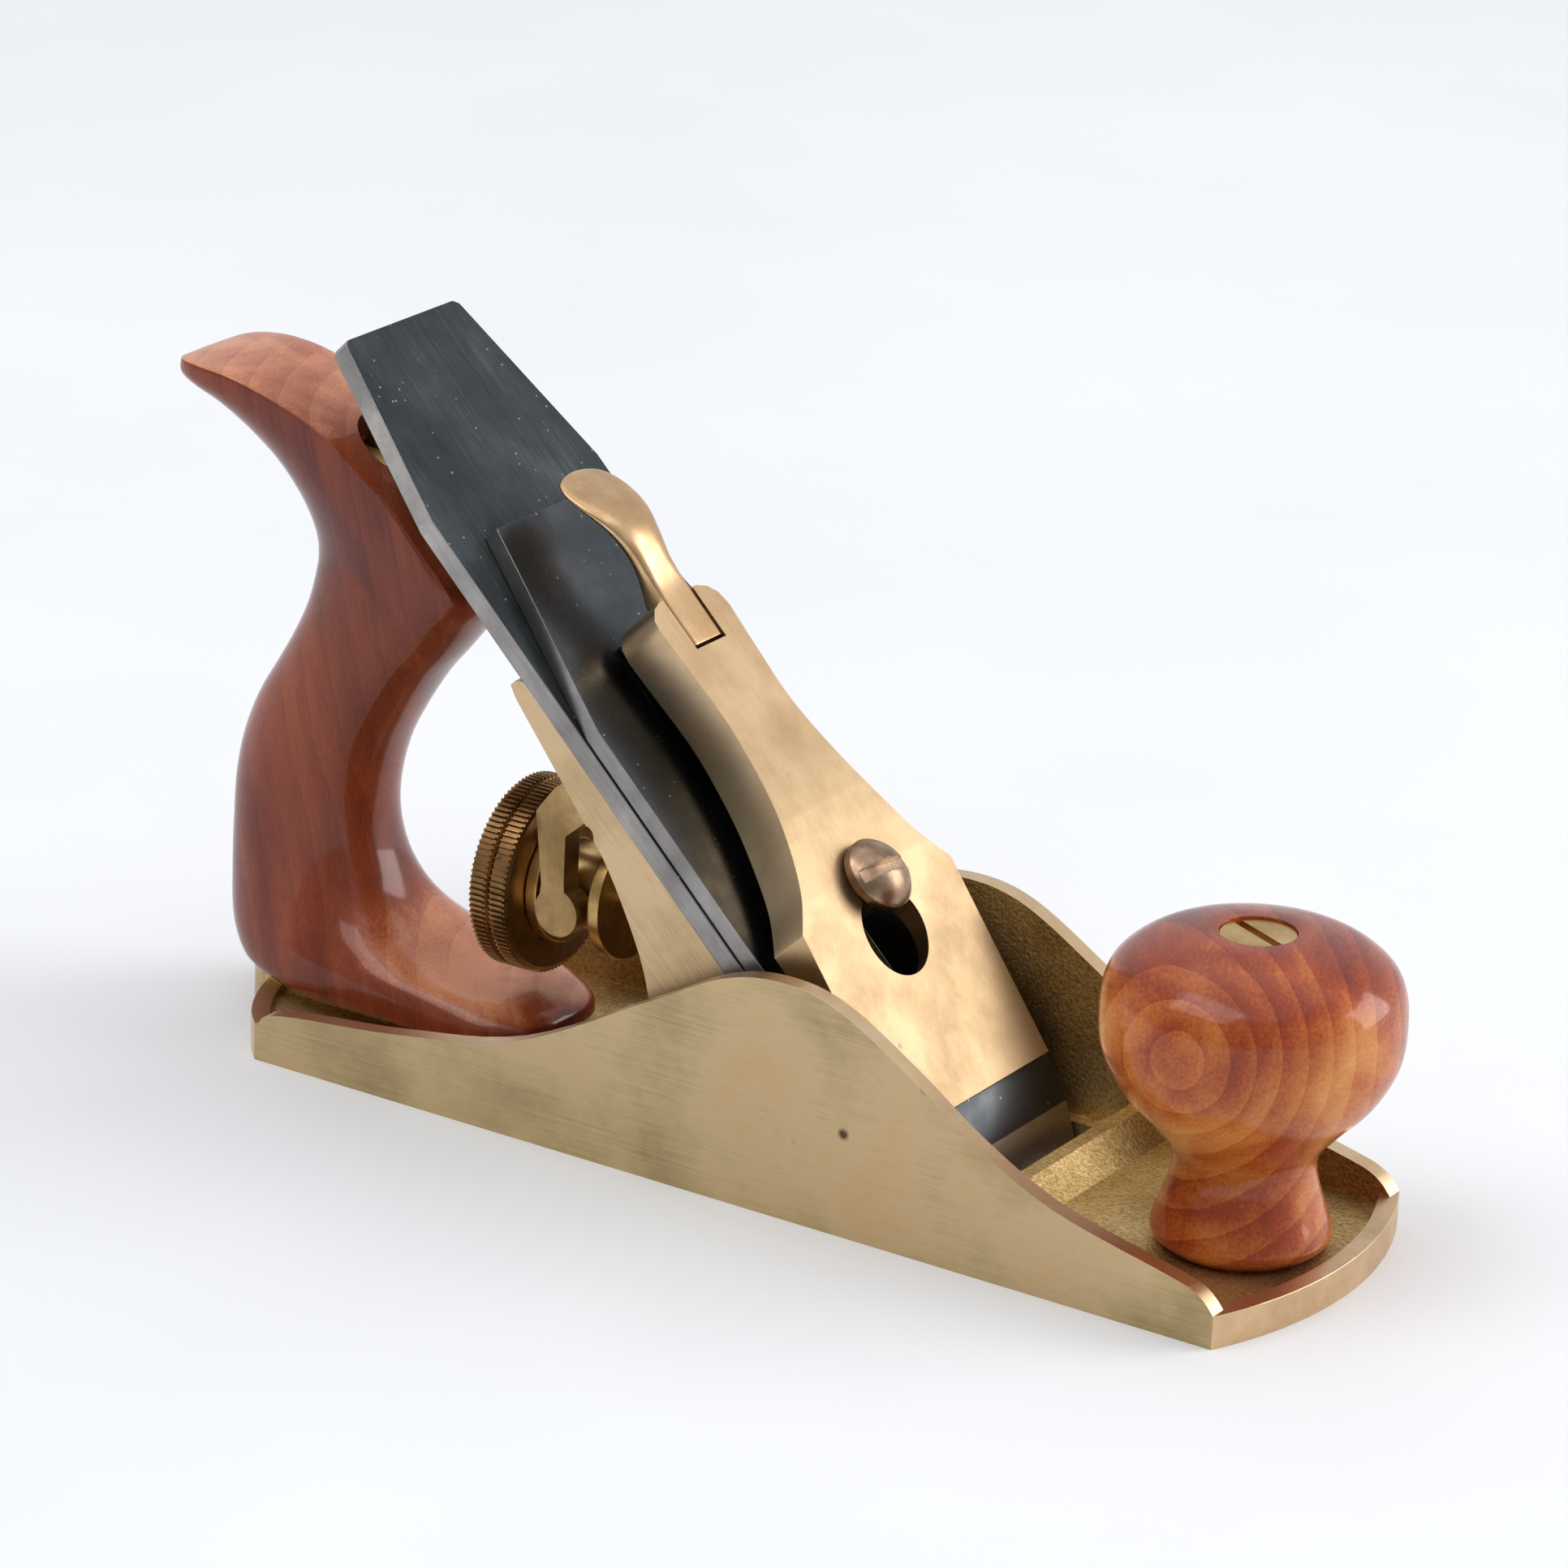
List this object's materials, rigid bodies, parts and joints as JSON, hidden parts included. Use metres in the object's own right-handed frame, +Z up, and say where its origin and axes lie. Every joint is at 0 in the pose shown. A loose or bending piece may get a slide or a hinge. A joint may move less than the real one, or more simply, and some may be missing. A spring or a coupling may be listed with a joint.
{
  "type": "bench plane",
  "caption": "Small bronze bench plane with a steel iron, bronze lever cap, brass adjusting wheel, and a cherry tote and knob.",
  "frame": {"origin": "on the sole's face, on its centreline, halfway between the heel arc and the toe arc", "axes": "+X to the toe, +Y to the left side seen from the heel, +Z up from the sole"},
  "size_m": [0.1601, 0.041, 0.0854],
  "materials": {
    "bronze_ground": "ground and brushed, with orange and olive tarnish",
    "bronze_polished": "polished",
    "brass_turned": "turned, satin",
    "steel_ground": "ground, with a dark blue-grey tone",
    "steel_spring": "satin",
    "cherry": "gloss lacquer"
  },
  "bodies": {
    "casting": {"body": "bronze_ground", "tote": "cherry", "tote_rod": "brass_turned", "tote_nut": "brass_turned", "knob": "cherry", "knob_rod": "brass_turned", "knob_nut": "brass_turned", "frog_screws": "brass_turned", "frog_washers": "brass_turned"},
    "frog_body": {"frog": "bronze_ground", "depth_stud": "brass_turned", "yoke_pin": "brass_turned"},
    "iron": {"blade": "steel_ground", "cap_iron": "steel_ground", "cap_iron_screw": "steel_ground"},
    "yoke_body": {"yoke": "bronze_ground"},
    "nut": {"depth_nut": "brass_turned"},
    "wheel": {"depth_wheel": "brass_turned"},
    "cap": {"lever_cap": "bronze_polished", "leaf_spring": "steel_spring", "spring_rivet": "brass_turned", "cam_pin": "brass_turned"},
    "lever": {"cam_lever": "bronze_polished"},
    "cap_screw": {"lever_cap_screw": "brass_turned"}
  },
  "joints": [
    {"name": "frog_slide", "type": "slide", "parent": "casting", "child": "frog_body", "axis": [1, 0, 0], "range_m": [-0.00075, 0.00075]},
    {"name": "iron_feed", "type": "slide", "parent": "frog_body", "child": "iron", "axis": [0.7071, 0, -0.7071], "range_m": [-0.001, 0.001]},
    {"name": "yoke_rock", "type": "hinge", "parent": "frog_body", "child": "yoke_body", "pos_m": [-0.01969, 0, 0.03642], "axis": [0, 1, 0], "range_deg": [-6.6, 6.6]},
    {"name": "nut_travel", "type": "slide", "parent": "frog_body", "child": "nut", "axis": [1, 0, 0], "range_m": [-0.0016, 0.0016]},
    {"name": "wheel_spin", "type": "hinge", "parent": "nut", "child": "wheel", "pos_m": [-0.0361, 0, 0.0233], "axis": [1, 0, 0], "range_deg": [-530, 530]},
    {"name": "lever_cap_slide", "type": "slide", "parent": "frog_body", "child": "cap", "axis": [-0.7071, 0, 0.7071], "range_m": [0, 0.006]},
    {"name": "cam_lever_turn", "type": "hinge", "parent": "cap", "child": "lever", "pos_m": [-0.01828, 0, 0.05551], "axis": [0, 1, 0], "range_deg": [0, 60]},
    {"name": "cap_screw_turn", "type": "hinge", "parent": "frog_body", "child": "cap_screw", "pos_m": [0.00894, 0, 0.03366], "axis": [0.7071, 0, 0.7071], "range_deg": [-180, 180]}
  ],
  "couplings": [
    {"joint": "yoke_rock", "follows": "iron_feed", "rad_per_m": 113.64},
    {"joint": "nut_travel", "follows": "iron_feed", "ratio": -1.5455},
    {"joint": "wheel_spin", "follows": "iron_feed", "rad_per_m": 9160.6}
  ]
}
